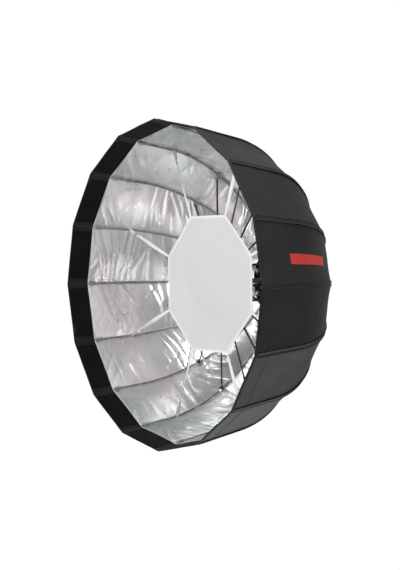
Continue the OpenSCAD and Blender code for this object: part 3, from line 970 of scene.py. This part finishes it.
# the inner deflector
deflector = {"radius": 0.240, "thick": 0.8 * mm, "steps": 18, "sag": 5.0 * mm, "hem": 9 * mm,
             "hemThick": 2.0 * mm,
             "stitchPitch": 4.4 * mm, "stitch": 2.8 * mm, "thread": 0.6 * mm, "keep": 0.06,
             "creaseDegrees": 38, "crease": 1.7 * mm, "crossCrease": 0.4 * mm, "ripple": 0.7 * mm,
             "stitchIn": 1.6 * mm}
hemPoints = 12
lowCorner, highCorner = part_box("deflector")
deflectorY = (lowCorner.y + highCorner.y) / 2
strapRibs = list(range(1, ribCount, 2))
midEdge = deflector["radius"] * math.cos(math.pi / 8)


def deflectorHeight(x, z):
    # how far the cloth stands behind its own plane: a shallow belly, soft creases and corner ripples
    rho = np.hypot(x, z)
    angle = np.arctan2(z, x)
    edge = midEdge / np.cos((angle + math.pi) % (math.pi / 4) - math.pi / 8)
    share = np.clip(rho / edge, 0, 1)
    belly = deflector["sag"] * (1 - share ** 2)
    turn = math.radians(deflector["creaseDegrees"])
    slant = x * math.cos(turn) + z * math.sin(turn)
    cross = -x * math.sin(turn) + z * math.cos(turn)
    fade = np.clip(1 - share ** 4, 0, 1)
    crease = deflector["crease"] * np.exp(-np.abs(cross + 0.01) / (5 * mm)) * fade
    crease = crease + deflector["crossCrease"] * np.exp(-np.abs(slant - 0.03) / (4 * mm)) * fade
    toCorner = np.abs((angle + math.pi / 8) % (math.pi / 4) - math.pi / 8)
    ripple = deflector["ripple"] * np.cos(toCorner * 42) * np.exp(-toCorner / 0.14)
    ripple = ripple * share ** 3 * (1 - share ** 12)
    return belly + crease + ripple


def deflectorPoint(x, z, lift=0.0):
    return np.stack([x, deflectorY + deflectorHeight(x, z) + lift, z], axis=-1)


for i in strapRibs:
    angle = i * ribStep
    out = radial(angle)
    corner = out * deflector["radius"]
    sides = [radial(angle + turn) * midEdge for turn in (-math.pi / 8, math.pi / 8)]
    ticks = np.linspace(0, 1, deflector["steps"] + 1)
    a, b = (share[..., None] for share in np.meshgrid(ticks, ticks, indexing="ij"))
    flat = a * (1 - b) * sides[0] + (a * b) * corner + ((1 - a) * b) * sides[1]
    x, z = flat[..., 0], flat[..., 2]
    small = 0.3 * mm
    slopeX = (deflectorHeight(x + small, z) - deflectorHeight(x - small, z)) / (2 * small)
    slopeZ = (deflectorHeight(x, z + small) - deflectorHeight(x, z - small)) / (2 * small)
    normals = np.stack([-slopeX, np.ones_like(x), -slopeZ], axis=-1)
    normals /= np.linalg.norm(normals, axis=2, keepdims=True)
    places = deflectorPoint(x, z, deflector["thick"] / 2)
    doubled = np.concatenate([normals[:, :1], normals], axis=1)
    uv = np.stack([x, z], axis=-1)
    kite = closedSheet("deflector_%02d" % (i + 1), places, doubled, 0, deflector["thick"], deflectorCloth,
                       uv)
    # the hem runs along the kite's two outer sides, mitred at the corner
    ticks = np.linspace(0, 1, hemPoints)[:, None]
    path = np.concatenate([sides[0] * (1 - ticks) + corner * ticks,
                           (corner * (1 - ticks) + sides[1] * ticks)[1:]])
    first, second = (side / np.linalg.norm(side) for side in sides)
    mitre = -(first + second) / (1 + float(np.dot(first, second)))
    inward = np.array([-first] * (hemPoints - 1) + [mitre] + [-second] * (hemPoints - 1))
    hemLine = path + inward * (deflector["hem"] / 2)
    hemLine[:, 1] = deflectorY + deflectorHeight(hemLine[:, 0], hemLine[:, 2])
    strip = np.array(roundedStrip(deflector["hem"], deflector["hemThick"]))
    outline = np.array([strip * [float(np.linalg.norm(v)), 1] for v in inward])
    hem = sweep("deflectorHem_%02d" % (i + 1), hemLine,
                inward / np.linalg.norm(inward, axis=1, keepdims=True),
                backward, outline, whiteElastic)
    seam = path + inward * (deflector["hem"] - deflector["stitchIn"])
    seam[:, 1] = deflectorY + deflectorHeight(seam[:, 0], seam[:, 2])
    seams = [seam + backward * side for side in (-deflector["hemThick"] / 2, deflector["hemThick"] / 2)]
    stitches = sew("hemStitches_%02d" % (i + 1), seams, deflector, i, whiteThread)
    for piece in (kite, hem, stitches):
        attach(piece, ribName(i))
        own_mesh(piece)
    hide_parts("deflector")
print("deflector stretched")

# elastic straps, hooks and webbing loops
strap = {"start": 0.236, "end": 0.431, "width": 12 * mm, "narrow": 6.5 * mm, "thick": 1.2 * mm, "twist": 52,
         "hookEnd": 0.449, "hookWidth": 10 * mm, "wire": 1.1 * mm, "rodR": 2.5 * mm, "loopWidth": 13 * mm,
         "loopThick": 1.1 * mm}
strapDepth = hingeY - deflectorY
strapRuns = rowsBetween(strap["start"], strap["end"], 5 * mm)
share = (strapRuns - strap["start"]) / (strap["end"] - strap["start"])
rodRuns = np.linspace(0, rimS, 600)
rodR, rodDepth = sectionPoint(rodRuns, 0.0)
rodAt = float(np.interp(strapDepth, rodDepth, rodR))
for i in strapRibs:
    out, across = ribAxes(i)
    turn = math.radians(strap["twist"]) * np.sin(share * math.pi / 2) ** 2 * (1 if i % 4 == 1 else -1)
    wide = np.cos(turn)[:, None] * across + np.sin(turn)[:, None] * backward
    thin = -np.sin(turn)[:, None] * across + np.cos(turn)[:, None] * backward
    width = strap["narrow"] + (strap["width"] - strap["narrow"]) * np.clip(np.sin(share * math.pi), 0,
            1) ** 0.6
    width = np.where(share > 0.9, np.maximum(width, strap["hookWidth"] * 0.85), width)
    outline = np.array([roundedStrip(w, strap["thick"]) for w in width])
    band = sweep("strap_%02d" % (i + 1),
                 ribPoint(i, strapRuns, strapDepth + 1.4 * mm * np.sin(share * math.pi)), wide, thin,
                 outline, whiteElastic)
    hw, r0, r1 = strap["hookWidth"] / 2, strap["end"] - 3 * mm, strap["hookEnd"] + 1.5 * mm
    ring = [(r0, -hw), (r0, hw), (r0 + 5 * mm, hw), (r1 - 4 * mm, hw * 0.8), (r1, hw * 0.35),
            (r1 + 0.8 * mm, 0), (r1, -hw * 0.35), (r1 - 4 * mm, -hw * 0.8), (r0 + 5 * mm, -hw)]
    smooth = []
    for k in range(len(ring)):
        p0, p1 = np.array(ring[k]), np.array(ring[(k + 1) % len(ring)])
        smooth += [p0 * (1 - t) + p1 * t for t in (0, 1 / 3, 2 / 3)]
    smooth = np.array(smooth)
    last = turn[-1]
    ringAcross, ringUp = (np.cos(last) * across + np.sin(last) * backward,
                          -np.sin(last) * across + np.cos(last) * backward)
    centres = smooth[:, :1] * out + smooth[:, 1:] * ringAcross + (hingeY - strapDepth) * backward
    tangent = np.roll(centres, -1, axis=0) - np.roll(centres, 1, axis=0)
    tangent /= np.linalg.norm(tangent, axis=1, keepdims=True)
    sideways = np.cross(tangent, ringUp)
    sideways /= np.linalg.norm(sideways, axis=1, keepdims=True)
    hook = sweep("strapHook_%02d" % (i + 1), centres, sideways, ringUp, circleOutline(strap["wire"]),
                 brightSteel, ringClosed=True)
    reach = strap["rodR"] + 0.3 * mm + strap["loopThick"] / 2
    arc = [(rodAt + reach * math.cos(a), reach * math.sin(a))
           for a in np.linspace(math.radians(110), math.radians(-110), 13)]
    startR = strap["hookEnd"] - 0.5 * mm
    bar = strap["wire"] + strap["loopThick"] / 2 + 0.15 * mm
    front = [(startR + bar * math.cos(a), bar * math.sin(a))
             for a in np.linspace(math.radians(180), math.radians(95), 4)]
    rear = [(r, -y) for r, y in front[::-1]]
    loopLine = front + [(startR + 8 * mm, 0.9 * mm + strap["loopThick"] * 0.1)] + arc + [(startR + 8 * mm,
            -0.9 * mm - strap["loopThick"] * 0.1)] + rear
    loopLine = np.array(loopLine)
    centres = loopLine[:, :1] * out + loopLine[:, 1:] * across + (hingeY - strapDepth) * backward
    tangent = np.gradient(centres, axis=0)
    tangent /= np.linalg.norm(tangent, axis=1, keepdims=True)
    loopOut = np.cross(tangent, backward)
    loopOut /= np.linalg.norm(loopOut, axis=1, keepdims=True)
    loop = sweep("strapLoop_%02d" % (i + 1), centres, np.tile(backward, (len(centres), 1)), loopOut,
                 roundedStrip(strap["loopWidth"], strap["loopThick"]), whiteElastic)
    for piece, slotName in ((band, "strap_elastic"), (hook, "screw_steel"), (loop, "webbing_white")):
        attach(piece, ribName(i))
    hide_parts("deflector_straps")
    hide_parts("strap_hooks")
print("straps hooked")

# light edging along the ribs inside
edging = {"width": 4.2 * mm, "thick": 0.9 * mm, "side": 4.2 * mm, "start": 0.02, "step": 12 * mm}
edgeRuns = rowsBetween(edging["start"], lipS - 1 * mm, edging["step"])
edgeR, edgeDepth = sectionPoint(edgeRuns, canopy["linerOffset"] - 0.9 * mm)
nextR, nextDepth = sectionPoint(edgeRuns + 1e-4, canopy["linerOffset"] - 0.9 * mm)
alongR, alongD = (nextR - edgeR), (nextDepth - edgeDepth)
size = np.hypot(alongR, alongD)
for i in range(ribCount):
    out, across = ribAxes(i)
    away = (alongD / size)[:, None] * out + (alongR / size)[:, None] * backward
    strips = []
    for side in (-1, 1):
        tilt = away * math.cos(ribStep / 2) + across * side * math.sin(ribStep / 2)
        flatWay = across * math.cos(ribStep / 2) - side * away * math.sin(ribStep / 2)
        centres = ribPoint(i, edgeR, edgeDepth,
                           side * edging["side"]) - away * (edging["side"] * math.tan(ribStep / 2))
        strips.append(sweep("seamEdge_%02d_%d" % (i + 1, side), centres, flatWay, tilt,
                            roundedStrip(edging["width"], edging["thick"], 2), seamSilver))
    piece = joinPieces("seamEdge_%02d" % (i + 1), strips)
    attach(piece, ribName(i))
print("seams edged")

# a plain red stitched bar on one panel
redBar = {"panel": 0, "firstColumn": 8, "lastColumn": 12, "start": 0.37, "end": 0.56, "lift": 0.75 * mm,
          "thick": 0.7 * mm}
first, last = int(np.argmin(abs(shellRows - redBar["start"]))), int(np.argmin(abs(shellRows
        - redBar["end"])))
block = slice(first, last + 1), slice(redBar["firstColumn"], redBar["lastColumn"] + 1)
places, normals = shellPlaces[redBar["panel"]][block], shellNormals[redBar["panel"]][block]
raised = places + normals * redBar["lift"]
doubled = np.concatenate([normals[:, :1], normals], axis=1)
piece = closedSheet("redBar", raised, doubled, 0, redBar["thick"], redTape,
                    clothUv(raised, shellRows[first:last + 1], 0))
followRib(piece, redBar["panel"])
print("red bar sewn on")

# finishes on the CAD pieces
finishes = {
    "mount_ring": castMetal, "retaining_ring": castMetal, "retaining_screws": brightSteel,
    "hub_ring": castMetal,
    "lock_knob": blackPlastic, "guide_posts": postMetal, "front_ring": castMetal, "post_nuts": brightSteel,
    "runner_ring": blackPlastic,
}
for i in range(1, ribCount + 1):
    finishes["rib_%02d" % i] = gunSteel
    finishes["strut_%02d" % i] = blackLacquer
for name, finish in finishes.items():
    for place in frame["nodes"][name].material_slots:
        place.material = finish
print("CAD pieces finished")

# floor
groundZ = cadLow.z - studio["floorDrop"]
floorMesh = bpy.data.meshes.new("floor")
floorCorners = 64
floorEdge = []
for x, y in circleOutline(studio["floorRadius"], floorCorners):
    floorEdge.append((x, rimY / 2 + y, groundZ))
floorMesh.from_pydata(floorEdge, [], [tuple(range(floorCorners))])
floorFinish, _, _, floorShader = newMaterial("floorFinish")
floorShader.inputs["Base Color"].default_value = (0.93, 0.93, 0.93, 1)
floorShader.inputs["Roughness"].default_value = 0.9
floorMesh.materials.append(floorFinish)
floor = bpy.data.objects.new("floor", floorMesh)
root.objects.link(floor)
backdropMesh = bpy.data.meshes.new("backdrop")
work = bmesh.new()
bmesh.ops.create_uvsphere(work, u_segments=32, v_segments=16, radius=studio["backdropRadius"])
bmesh.ops.reverse_faces(work, faces=work.faces)
work.to_mesh(backdropMesh)
work.free()
backdropFinish, _, _, backdropShader = newMaterial("backdropFinish")
backdropShader.inputs["Base Color"].default_value = (0, 0, 0, 1)
backdropShader.inputs["Emission Color"].default_value = (1, 1, 1, 1)
backdropShader.inputs["Emission Strength"].default_value = studio["backdrop"]
backdropMesh.materials.append(backdropFinish)
backdrop = bpy.data.objects.new("backdrop", backdropMesh)
root.objects.link(backdrop)
for ray in ("visible_diffuse", "visible_glossy", "visible_transmission", "visible_volume_scatter",
            "visible_shadow"):
    setattr(backdrop, ray, False)
